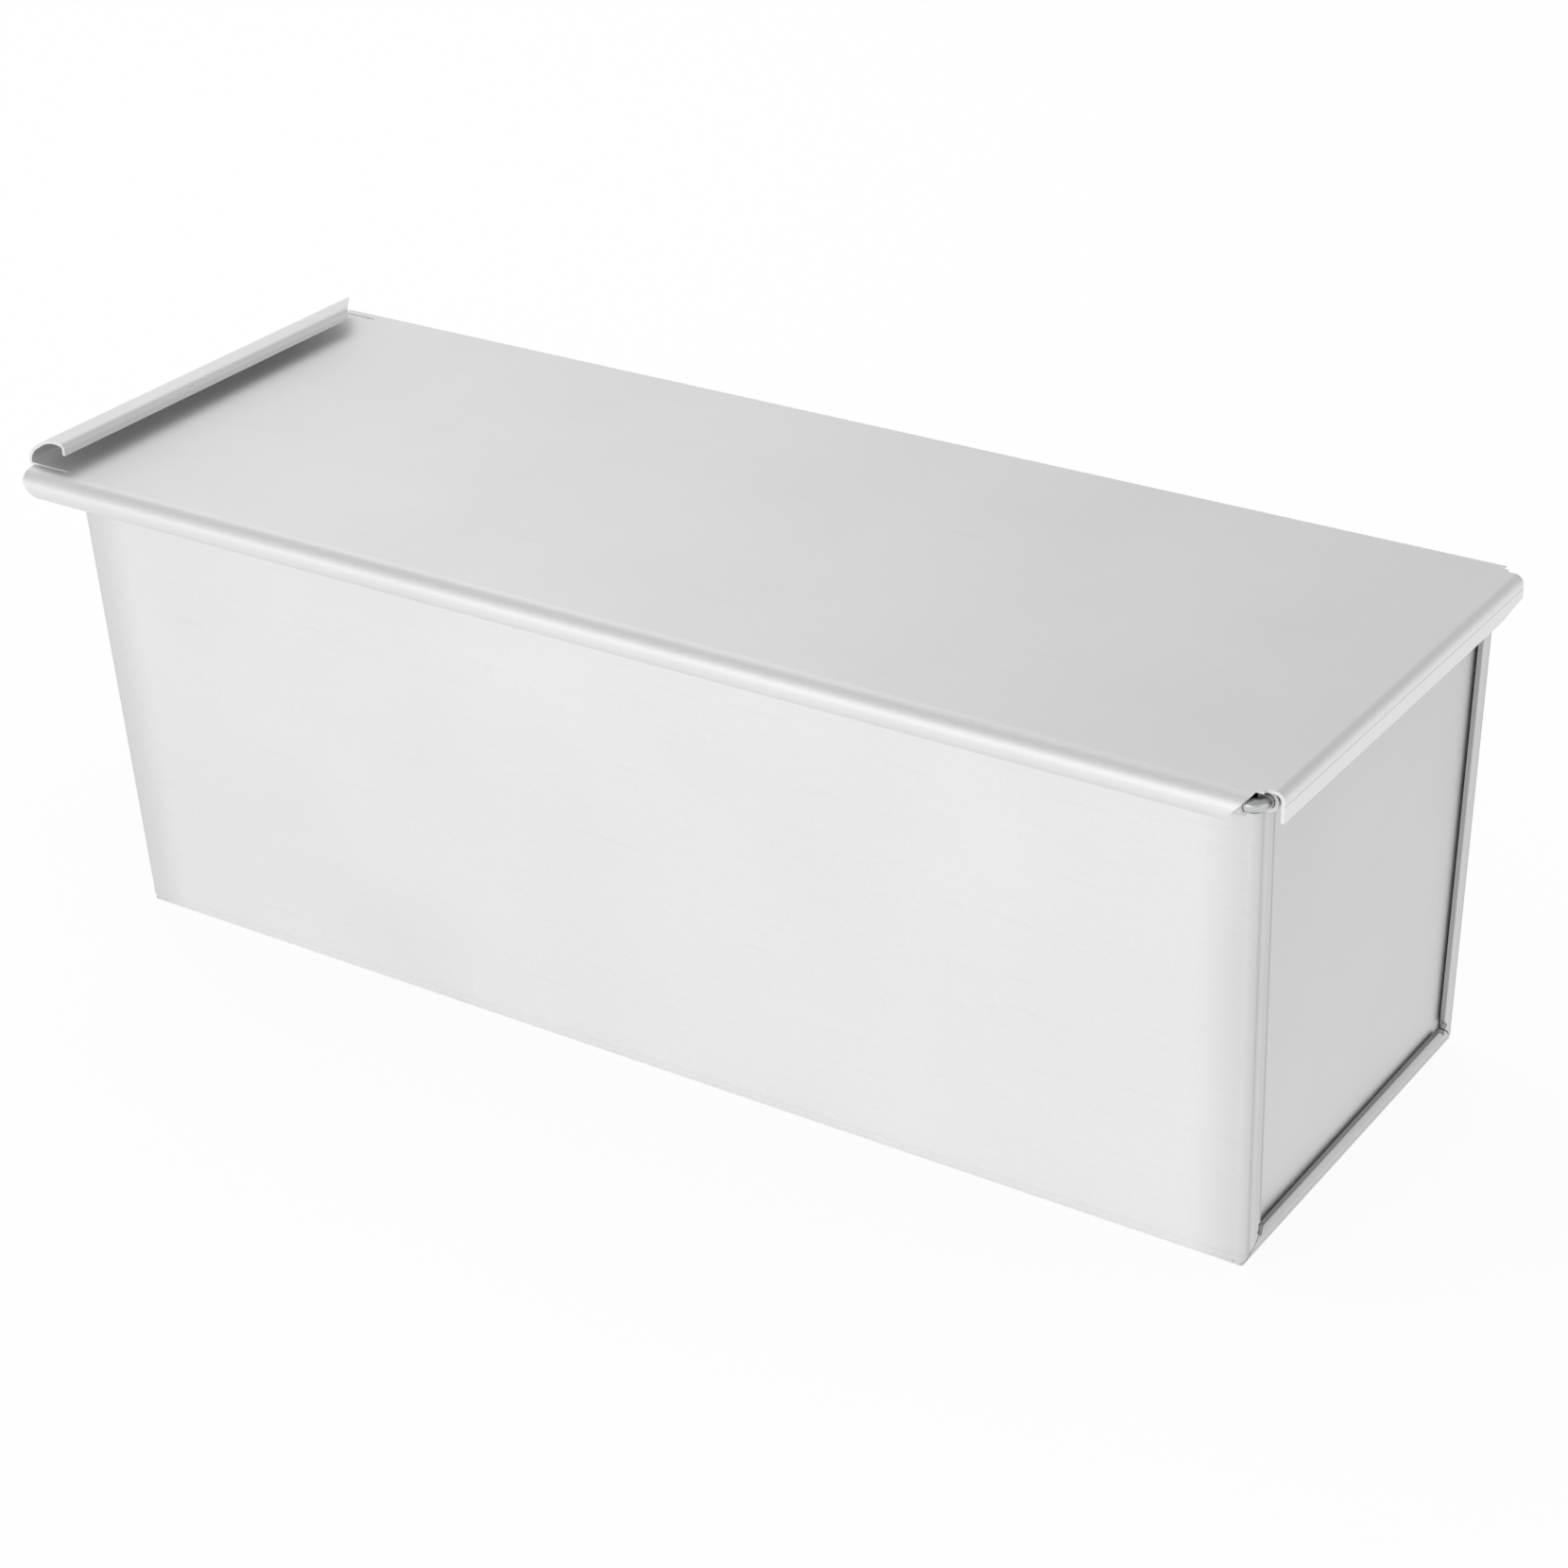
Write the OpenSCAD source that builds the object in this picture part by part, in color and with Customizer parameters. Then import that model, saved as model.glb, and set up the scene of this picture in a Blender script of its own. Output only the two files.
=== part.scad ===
// Pullman loaf pan: a folded sheet body with wired, rolled rims and a sliding lid.
// The body is one sheet folded up into a bottom and two long walls. Its end margins are
// hemmed over the turned-back edges of two end plates, and one wire runs round the rim.
// X runs along the pan, Y across it and Z up. The origin is at the middle of the bottom.

/* [Pan] */
// Length over the end hems, at the height of the rim wire
top_length = 280.6; // [200:0.1:420]
// Length over the end hems, at the bottom
bottom_length = 276.6; // [196:0.1:420]
// Width over the long walls, at the height of the rim wire
top_width = 103; // [80:0.1:160]
// Width over the long walls, at the bottom
bottom_width = 95; // [76:0.1:160]
// Height of the rim wire's centre above the table
rim_height = 103.3; // [60:0.1:140]
// Thickness of the body sheet
sheet = 0.7; // [0.5:0.05:0.8]
// Outer radius of the bends along the bottom's long edges
bottom_bend = 2; // [1.6:0.1:2.6]

/* [End seams] */
// Width of the hem that frames each end
hem_width = 6.2; // [5.8:0.1:8]
// Outer radius of the fold that turns a wall into its hem
hem_bend = 2; // [1.6:0.1:2.1]
// Depth of the end panel behind the outer face of the hem
panel_depth = 2.6; // [2.5:0.1:3]
// Width of the end plate's turned-back edge under the hem
tuck_width = 5.2; // [4:0.1:5.6]
// Gap along the mitres where two hems meet
mitre_gap = 0.3; // [0.1:0.05:0.6]
// Size of the open notch at the inner end of a mitre
mitre_notch = 1.3; // [0.5:0.1:2]

/* [Rim] */
// Diameter of the rim wire
wire_diameter = 2.8; // [2:0.1:3.4]
// Bend radius of the wire's corners, along its centre
wire_bend = 2.6; // [2.3:0.1:4]
// Gap between the wire's two butted ends
wire_butt = 0.4; // [0.2:0.1:2]
// How far the wire's centre stands out from the face of the end hems
end_rim_out = 1; // [0.6:0.1:1.8]
// Angle through which the body sheet is rolled round the wire
roll_turn = 300; // [220:5:305]

/* [Lid] */
// Thickness of the lid sheet
lid_sheet = 0.7; // [0.5:0.05:0.8]
// Gap between the rim and the lid that lies over it
lid_rest_gap = 0.2; // [0.1:0.05:0.6]
// Gap between a rim roll and the inside of the lid's side curl
curl_gap = 0.55; // [0.3:0.05:0.9]
// Angle through which the lid's sides are curled under the rim
curl_turn = 195; // [150:5:200]
// How far the side curls reach past the pan's end hem at the handle
curl_overhang = 11.5; // [8:0.1:20]
// Slope at which the side curls are cut away at the flange end
curl_slant = 42; // [10:1:50]
// Slope at which the curls' feet are trimmed back at the handle end
foot_slant = 35; // [10:1:50]

/* [Lid end flange] */
// Gap between the end rim and the lid's flange
flange_gap = 0.3; // [0.2:0.05:2]
// Outer radius of the bend from the lid down into the flange
flange_bend = 2.8; // [1.8:0.1:3.2]
// Height of the flange from the lid's top to its lower edge
flange_height = 6.2; // [5.6:0.1:9]
// Height of the leaf that is hemmed up on the outside of the flange
leaf_height = 3.8; // [2:0.1:4.2]
// Gap between the two leaves of the flange
leaf_gap = 0.1; // [0.05:0.05:0.4]
// Slope at which the flange's ends are cut in towards its lower edge
flange_slant = 20; // [0:1:40]

/* [Lid handle] */
// How far the handle's flat reaches past the pan's end hem before it turns up
handle_overhang = 10.6; // [7:0.1:19]
// Outer radius where the handle turns up from the lid
heel_radius = 3.2; // [2:0.1:4.5]
// Outer radius of the handle's long back
back_radius = 9.5; // [7:0.1:14]
// Outer radius where the handle turns down to its lip
nose_radius = 2; // [1.2:0.1:3]
// Slope of the handle's back where it leaves the heel
back_slope = 50; // [40:1:65]
// Length of the straight lip at the handle's edge
lip_length = 0.7; // [0.2:0.1:1.5]
// How far the slits beside the handle run in past its heel
slit_length = 8.2; // [4:0.1:16]
// Width of those slits
slit_width = 0.6; // [0.3:0.1:1.2]
// Distance from a slit to the centre of the side curl
slit_inset = 1.4; // [1:0.1:4]

/* [Hidden] */
$fn = 64;

steel = [0.82, 0.83, 0.82];
plate_steel = [0.78, 0.79, 0.79];
wire_steel = [0.68, 0.69, 0.70];
lid_steel = [0.80, 0.81, 0.80];

// Places that several pieces share are rounded to a micron, so that they meet exactly
function micron(size) = round(size * 1000) / 1000;

// Lean of the long walls and of the ends, away from upright
wall_lean = atan((top_width - bottom_width) / 2 / rim_height);
end_lean = atan((top_length - bottom_length) / 2 / rim_height);
// Lean of the corner seams, seen square to a long wall and square to an end
seam_lean_wall = atan((top_length - bottom_length) / 2 * cos(wall_lean) / rim_height);
seam_lean_end = atan((top_width - bottom_width) / 2 * cos(end_lean) / rim_height);

// Where two bends or flats join, the sheet is a hair thinner over a short lap
stretch = 0.004;
lap = 0.06;
lap_gap = 0.02;

// Distance from a sharp corner to where its bend begins
bottom_run = bottom_bend * tan((90 - wall_lean) / 2);
hem_run = hem_bend * tan((90 - end_lean) / 2);
floor_half = micron(bottom_width / 2 - bottom_run);
floor_end = micron(bottom_length / 2 - hem_run);
bend_relief = 0.4;
seam_x = micron(bottom_length / 2 + bottom_run * tan(seam_lean_wall));
wall_reach = max(top_length, bottom_length) / 2 + 4 * hem_bend;

// Rolled rims and the wire inside them
fit_gap = 0.1;
roll_inner = wire_diameter / 2 + fit_gap;
roll_outer = roll_inner + sheet;
roll_end = micron(top_length / 2 - 0.7 * wire_bend);
wire_y = micron(top_width / 2 + roll_inner / cos(wall_lean));
wire_x = micron(top_length / 2 + end_rim_out / cos(end_lean));
wall_run = micron((rim_height + roll_inner * sin(wall_lean)) / cos(wall_lean) - bottom_run);

// End plates, measured in the frame of an end
roll_z = micron((rim_height + end_rim_out * sin(end_lean)) / cos(end_lean));
roll_half = micron(wire_y - wire_bend - fit_gap);
neck_x = end_rim_out - roll_inner;
neck_step = neck_x + panel_depth;
neck_z = micron(roll_z - neck_step - 0.45);
neck_bevel = sheet * tan(22.5);
hem_top = neck_z - 0.15;
tuck_drop = 0.3;
tuck_out = sheet + fit_gap;
tuck_radius = (panel_depth + sheet - tuck_out) / 2;
tuck_y = tuck_out + tuck_radius;
panel_low = tuck_y + 0.1;
panel_half = bottom_width / 2 - panel_low / cos(seam_lean_end);
corner_cut = (2 - sqrt(2)) * bottom_bend;
tuck_corner = corner_cut + 1.4 * sheet + 3 * fit_gap;

// Lid
lid_top = micron(rim_height + roll_outer + lid_rest_gap + lid_sheet);
curl_outer = roll_outer + curl_gap + lid_sheet;
top_half = micron(wire_y - 0.5);
curl_left = micron(top_length / 2 + curl_overhang);
curl_right = micron(top_length / 2 + 0.1);
flange_x = micron(wire_x + roll_outer + flange_gap);
flange_half = top_width / 2;
fold_radius = lid_sheet + leaf_gap / 2;
heel_x = micron(-(top_length / 2 + handle_overhang));
handle_flat = 0.3;
slit_y = micron(wire_y - slit_inset);
handle_half = slit_y - slit_width / 2;
reach = 400;

// Part of a ring: outer radius r, thickness t, from angle a0 round to angle a1
module arc_band(r, t, a0, a1) {
    intersection() {
        difference() {
            circle(r = r);
            circle(r = r - t);
        }
        if (a1 - a0 > 180)
            union() {
                rotate(a0)
                    translate([-2 * r, 0])
                        square([4 * r, 2 * r]);
                rotate(a1)
                    translate([-2 * r, -2 * r])
                        square([4 * r, 2 * r]);
            }
        else
            intersection() {
                rotate(a0)
                    translate([-2 * r, 0])
                        square([4 * r, 2 * r]);
                rotate(a1)
                    translate([-2 * r, -2 * r])
                        square([4 * r, 2 * r]);
            }
    }
}

// Turns a section drawn in Y and Z into a bar that runs from the middle to X = length
module along_x(length) {
    rotate([90, 0, 90])
        linear_extrude(height = length)
            children();
}

// Turns a section drawn in X and Z into a bar that runs from the middle to the front
module to_front(length) {
    rotate([90, 0, 0])
        linear_extrude(height = length)
            children();
}

// The children and their mirror image across the pan
module both_sides() {
    children();
    mirror([0, 1, 0])
        children();
}

// The children and their mirror image along the pan
module both_ends() {
    children();
    mirror([1, 0, 0])
        children();
}

// Frame of the right-hand end: its outer hem face is X = 0, and Z runs up along it
module at_right_end() {
    translate([bottom_length / 2, 0, 0])
        rotate([0, end_lean, 0])
            children();
}

// Frame of the front wall: its outer face is Y = 0, and Z = 0 is where its bend ends
module at_front_wall() {
    translate([0, -floor_half, bottom_bend])
        rotate([wall_lean, 0, 0])
            translate([0, -bottom_bend, 0])
                children();
}

// Frame of the corner seam: the front wall's frame turned to follow the end hem
module at_seam() {
    at_front_wall()
        translate([seam_x, 0, 0])
            rotate([0, seam_lean_wall, 0])
                children();
}

// Frame of the mitre at the end's lower front corner: Y runs inward along the mitre
module at_mitre() {
    at_right_end()
        translate([0, -bottom_width / 2, 0])
            rotate([45, 0, 0])
                children();
}

// Front wall from the middle of the pan to its fold, with the rim rolled round the wire
module front_wall() {
    difference() {
        at_front_wall()
            translate([0, 0, lap_gap])
                cube([wall_reach, sheet, wall_run - lap_gap]);
        at_seam()
            translate([-hem_bend - lap_gap, -reach / 2, -reach / 2])
                cube([reach, reach, reach]);
    }
    at_front_wall() {
        translate([0, stretch, -lap])
            cube([floor_end - 3 * bend_relief, sheet - 2 * stretch, 2 * lap + lap_gap]);
        translate([0, -roll_inner, wall_run])
            along_x(roll_end)
                arc_band(roll_outer, sheet, 0, roll_turn);
    }
}

// Chamfer of a hem's foot and the open notch at the inner end of its mitre
module hem_corner_cuts() {
    at_mitre() {
        translate([-reach / 2, -reach, -reach / 2])
            cube([reach, reach + corner_cut / sqrt(2), reach]);
        translate([-reach / 2, hem_width * sqrt(2) - mitre_notch, -mitre_notch])
            cube([reach, reach, 2 * mitre_notch]);
    }
}

// Hem of the front wall: the wall's margin turned square across the end
module side_hem() {
    difference() {
        at_seam() {
            linear_extrude(height = wall_run) {
                translate([-hem_bend, hem_bend])
                    arc_band(hem_bend, sheet, 270, 360);
                translate([-sheet, hem_bend])
                    square([sheet, hem_width - hem_bend]);
            }
            translate([-hem_bend - lap_gap - lap, stretch, bottom_bend])
                cube([2 * lap + lap_gap, sheet - 2 * stretch, wall_run - bottom_bend]);
        }
        at_mitre()
            translate([-reach / 2, -reach / 2, mitre_gap / 2 - reach])
                cube([reach, reach, reach]);
        hem_corner_cuts();
        at_right_end()
            translate([-reach / 2, -reach, hem_top])
                cube([reach, 2 * reach, reach]);
    }
}

// Hem along the bottom, turned up across the end
module bottom_hem() {
    difference() {
        translate([0, bottom_width / 2, 0])
            to_front(bottom_width)
                translate([floor_end, hem_bend]) {
                    arc_band(hem_bend, sheet, 270, 360 - end_lean);
                    rotate(-end_lean) {
                        translate([hem_bend - sheet, lap_gap])
                            square([sheet, hem_width - hem_run - lap_gap]);
                        translate([hem_bend - sheet + stretch, -lap])
                            square([sheet - 2 * stretch, 2 * lap + lap_gap]);
                    }
                }
        both_sides() {
            at_mitre()
                translate([-reach / 2, -reach / 2, -mitre_gap / 2])
                    cube([reach, reach, reach]);
            hem_corner_cuts();
        }
    }
}

// Folded sheet: bottom, two long walls with rolled rims, and three hems at each end
module body_wrap() {
    color(steel)
        both_ends() {
            both_sides() {
                translate([0, -floor_half, 0])
                    cube([floor_end, floor_half, sheet]);
                translate([0, -floor_half, bottom_bend])
                    along_x(floor_end - bend_relief)
                        arc_band(bottom_bend, sheet, 180 + wall_lean, 270);
                front_wall();
                side_hem();
            }
            bottom_hem();
        }
}

// Section of an end plate's edge, turned out and back so that a hem can hook over it
module tucked_edge() {
    translate([-panel_depth - sheet + tuck_radius, tuck_y])
        arc_band(tuck_radius, sheet, 180, 360);
    translate([-tuck_out - sheet, tuck_y])
        square([sheet, tuck_width - tuck_y]);
    translate([stretch - panel_depth - sheet, tuck_y - lap])
        square([sheet - 2 * stretch, 1]);
}

// Cuts the tucked edges clear of the bend inside the body's lower corner
module tuck_corner_cut() {
    translate([-reach / 2, -reach, -reach / 2])
        cube([reach, reach + tuck_corner / sqrt(2), reach]);
}

// Front half of the right-hand end plate, in the frame of the end
module plate_half() {
    // Panel, and the neck that carries it out under the rim
    intersection() {
        to_front(top_width)
            polygon([
                [-panel_depth, panel_low],
                [-panel_depth, neck_z],
                [neck_x, neck_z + neck_step],
                [neck_x, roll_z - lap_gap],
                [neck_x - sheet, roll_z - lap_gap],
                [neck_x - sheet, neck_z + neck_step + neck_bevel],
                [-panel_depth - sheet, neck_z + neck_bevel],
                [-panel_depth - sheet, panel_low]
            ]);
        translate([-reach / 2, 0, 0])
            along_x(reach)
                polygon([
                    [0, 0],
                    [-panel_half, 0],
                    [-panel_half - 2 * roll_z * tan(seam_lean_end), 2 * roll_z],
                    [0, 2 * roll_z]
                ]);
    }
    // Rim rolled round the wire
    translate([end_rim_out, 0, roll_z])
        to_front(roll_half) {
            arc_band(roll_outer, sheet, 180 - roll_turn, 180);
            translate([stretch - roll_outer, -lap_gap - lap])
                square([sheet - 2 * stretch, lap_gap + 2 * lap]);
        }
    // Tucked edge along the front wall
    difference() {
        translate([0, -bottom_width / 2, 0])
            rotate([seam_lean_end, 0, 0])
                linear_extrude(height = rim_height)
                    tucked_edge();
        translate([-reach / 2, -reach, hem_top - tuck_drop])
            cube([reach, 2 * reach, reach]);
        translate([0, -bottom_width / 2, 0])
            rotate([45, 0, 0]) {
                translate([-reach / 2, -reach / 2, mitre_gap / 2 - reach])
                    cube([reach, reach, reach]);
                tuck_corner_cut();
            }
    }
    // Tucked edge along the bottom
    difference() {
        to_front(bottom_width / 2)
            tucked_edge();
        translate([0, -bottom_width / 2, 0])
            rotate([45, 0, 0]) {
                translate([-reach / 2, -reach / 2, -mitre_gap / 2])
                    cube([reach, reach, reach]);
                tuck_corner_cut();
            }
    }
}

// Right-hand end plate: panel, three tucked edges and a rim rolled round the wire
module right_end_plate() {
    color(plate_steel)
        at_right_end()
            both_sides()
                plate_half();
}

// Left-hand end plate, the mirror image of the right-hand one
module left_end_plate() {
    mirror([1, 0, 0])
        right_end_plate();
}

// Rim wire: one loop with bent corners, its ends butted inside the back roll
module rim_wire() {
    run_x = micron(wire_x - wire_bend);
    run_y = micron(wire_y - wire_bend);
    color(wire_steel)
        translate([0, 0, rim_height])
            difference() {
                both_ends()
                    both_sides() {
                        translate([0, -wire_y, 0])
                            rotate([0, 90, 0])
                                cylinder(d = wire_diameter, h = run_x);
                        translate([wire_x, 0, 0])
                            rotate([90, 0, 0])
                                cylinder(d = wire_diameter, h = run_y);
                        translate([run_x, -run_y, 0])
                            rotate([0, 0, -90])
                                rotate_extrude(angle = 90)
                                    translate([wire_bend, 0])
                                        circle(d = wire_diameter);
                    }
                translate([-wire_butt / 2, wire_y - wire_diameter, -wire_diameter])
                    cube([wire_butt, 2 * wire_diameter, 2 * wire_diameter]);
            }
}

// Section of the front side curl, with the edge of the flat top that it grows from
module curl_section() {
    translate([-wire_y, lid_top]) {
        translate([0, -lid_sheet])
            square([wire_y - top_half, lid_sheet]);
        translate([0, -curl_outer])
            arc_band(curl_outer, lid_sheet, 90, 90 + curl_turn);
    }
}

// Front side curl, its foot trimmed at the handle end and slanted at the flange end
module side_curl() {
    difference() {
        union() {
            along_x(curl_right)
                curl_section();
            mirror([1, 0, 0])
                along_x(curl_left)
                    curl_section();
        }
        translate([curl_right, -reach / 2, lid_top - 0.3])
            rotate([0, curl_slant, 0])
                translate([0, 0, -reach])
                    cube([reach, reach, reach]);
        translate([-curl_left, -reach / 2, lid_top - 0.7 * curl_outer])
            rotate([0, -foot_slant, 0])
                translate([-reach, 0, -reach])
                    cube([reach, reach, reach]);
    }
}

// Front half of the lid's flat top, with the slit beside the handle
module lid_top_half() {
    difference() {
        translate([-curl_left, -top_half, lid_top - lid_sheet])
            cube([curl_left + flange_x + lid_sheet - flange_bend, top_half, lid_sheet]);
        translate([-curl_left - 1, -slit_y - slit_width / 2, lid_top - 2 * lid_sheet])
            cube([curl_left + 2 + heel_x, reach, 3 * lid_sheet]);
        translate([heel_x - 1, -slit_y - slit_width / 2, lid_top - 2 * lid_sheet])
            cube([slit_length + 1, slit_width, 3 * lid_sheet]);
    }
}

// Section of the flange: bend, inner leaf, lower fold and outer leaf
module flange_section() {
    lower = fold_radius - flange_height;
    translate([lid_sheet - 2 * flange_bend, -lid_sheet])
        square([flange_bend, lid_sheet]);
    translate([lid_sheet - flange_bend, -flange_bend])
        arc_band(flange_bend, lid_sheet, 0, 90);
    translate([0, lower])
        square([lid_sheet, -flange_bend - lower]);
    translate([fold_radius, lower])
        arc_band(fold_radius, lid_sheet, 180, 360);
    translate([lid_sheet + leaf_gap, lower])
        square([lid_sheet, leaf_height - fold_radius]);
}

// Front half of the flange, its end cut in towards the lower edge
module flange_half_width() {
    difference() {
        translate([flange_x, 0, lid_top])
            to_front(flange_half)
                flange_section();
        translate([flange_x - 1, -flange_half, lid_top - flange_bend])
            rotate([-flange_slant, 0, 0])
                translate([0, -reach, -reach])
                    cube([reach, reach, reach]);
    }
}

// Section of a short flat between two bends, drawn a hair thinner by the pull of both
module bend_flat() {
    translate([stretch - lid_sheet, -lap])
        square([lid_sheet - 2 * stretch, handle_flat + 2 * lap]);
}

// Section of the handle: heel, long back, nose and lip, from the heel's centre
module handle_section() {
    arc_band(heel_radius, lid_sheet, 90 + back_slope, 270);
    translate([0, -heel_radius])
        square([2, lid_sheet]);
    rotate(90 + back_slope) {
        translate([heel_radius, -handle_flat])
            bend_flat();
        translate([heel_radius - back_radius, -handle_flat]) {
            arc_band(back_radius, lid_sheet, -back_slope, 0);
            rotate(-back_slope) {
                translate([back_radius, -handle_flat])
                    bend_flat();
                translate([back_radius - nose_radius, -handle_flat]) {
                    arc_band(nose_radius, lid_sheet, -90, 0);
                    translate([-lip_length, -nose_radius])
                        square([lip_length, lid_sheet]);
                }
            }
        }
    }
}

// Sliding lid: top, side curls, end flange and handle, all one sheet
module lid() {
    color(lid_steel)
        both_sides() {
            side_curl();
            lid_top_half();
            flange_half_width();
            translate([heel_x, 0, lid_top])
                to_front(handle_half)
                    translate([0, heel_radius - lid_sheet])
                        handle_section();
        }
}

body_wrap();
left_end_plate();
right_end_plate();
rim_wire();
lid();
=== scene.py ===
"""Looks of a pullman loaf pan: aluminised sheet steel, a wired rim and a lid that slides.

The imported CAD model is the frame. Each of its pieces is carried over with its bends
smoothed and gets a finish of its own. The hems are swollen and the end panels pressed
closer to them, the rim wire is drawn again as a fine tube, and the lid's handle and
flange are bent again to the sections that the photograph shows.
Everything is in metres, with X along the pan, Y across it and Z up.
"""
import logging
import math
from dataclasses import dataclass, field
from enum import Enum
from typing import Any, Callable

import bmesh
import bpy
from mathutils import Matrix, Vector


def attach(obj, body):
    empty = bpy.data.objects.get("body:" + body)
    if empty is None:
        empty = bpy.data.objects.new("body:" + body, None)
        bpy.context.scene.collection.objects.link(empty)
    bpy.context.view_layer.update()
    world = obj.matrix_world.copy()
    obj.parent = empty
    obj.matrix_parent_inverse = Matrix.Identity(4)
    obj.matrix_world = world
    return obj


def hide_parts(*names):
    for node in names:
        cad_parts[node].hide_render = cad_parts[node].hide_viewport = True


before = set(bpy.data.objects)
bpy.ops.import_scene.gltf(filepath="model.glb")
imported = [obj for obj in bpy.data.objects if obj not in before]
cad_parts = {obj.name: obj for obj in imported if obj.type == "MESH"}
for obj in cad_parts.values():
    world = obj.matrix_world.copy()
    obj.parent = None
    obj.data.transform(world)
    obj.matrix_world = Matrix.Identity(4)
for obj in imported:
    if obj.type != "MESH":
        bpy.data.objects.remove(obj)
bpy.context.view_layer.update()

MM = 0.001

# The body's outside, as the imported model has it: the face of a bottom hem from the middle,
# half the width at the bottom, and how far ends and walls lean out for each unit of height
HEM_FACE_MM = 138.3
FOOT_HALF_MM = 47.5
END_SLOPE = 0.0194
SIDE_SLOPE = 0.0387

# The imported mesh: points closer than WELD are one, bends are smoothed up to SHARP_DEGREES,
# and a patch inside the sheet has fewer faces than LARGEST_INNER_PATCH
WELD = 0.03 * MM
SLIVER = 0.002 * MM
FLAT_DEGREES = 0.5
SHARP_DEGREES = 32.0
LARGEST_INNER_PATCH = 12

SENSOR_MM = 36.0
LOG = logging.getLogger("loaf_pan")


class Body(Enum):
    """The moving bodies of the pan, by their CAD names."""

    PAN = "pan"
    LID = "lid"


def linear(hex_colour: str) -> tuple[float, float, float, float]:
    """Turns an sRGB hex colour into the linear colour that a socket takes.

    Args:
        hex_colour: the colour as six hex digits, without a leading sign.

    Returns:
        Red, green, blue and an alpha of 1.
    """
    parts = [int(hex_colour[i : i + 2], 16) / 255 for i in (0, 2, 4)]
    r, g, b = (p / 12.92 if p <= 0.04045 else ((p + 0.055) / 1.055) ** 2.4 for p in parts)
    return r, g, b, 1.0


def add_node(
    tree: bpy.types.NodeTree,
    kind: str,
    settings: dict[str, Any] | None = None,
    values: dict[str | int, Any] | None = None,
    links: dict[str | int, bpy.types.NodeSocket] | None = None,
) -> bpy.types.Node:
    """Adds a node to a tree with its settings, socket values and incoming links.

    Args:
        tree: the material, world or geometry tree that gets the node.
        kind: the node's type name.
        settings: properties of the node and their values.
        values: input sockets, by name or index, and their plain values.
        links: input sockets, by name or index, and the outputs that feed them.

    Returns:
        The new node.
    """
    node = tree.nodes.new(kind)
    for name, value in (settings or {}).items():
        setattr(node, name, value)
    for socket, value in (values or {}).items():
        node.inputs[socket].default_value = value
    for socket, source in (links or {}).items():
        tree.links.new(source, node.inputs[socket])
    return node


def add_ramp(
    tree: bpy.types.NodeTree, value: bpy.types.NodeSocket, points: tuple[tuple[float, float], ...]
) -> bpy.types.NodeSocket:
    """Adds a smooth curve through a few points.

    Args:
        tree: the tree that gets the curve.
        value: the value that runs along the curve, from 0 to 1.
        points: places along the curve and the curve's heights there.

    Returns:
        The height at the value.
    """
    ramp = add_node(tree, "ShaderNodeValToRGB", links={0: value})
    ramp.color_ramp.interpolation = "B_SPLINE"
    while len(ramp.color_ramp.elements) < len(points):
        ramp.color_ramp.elements.new(0.5)
    for element, (where, height) in zip(ramp.color_ramp.elements, points):
        element.position = where
        element.color = (height, height, height, 1.0)
    return ramp.outputs[0]


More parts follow.
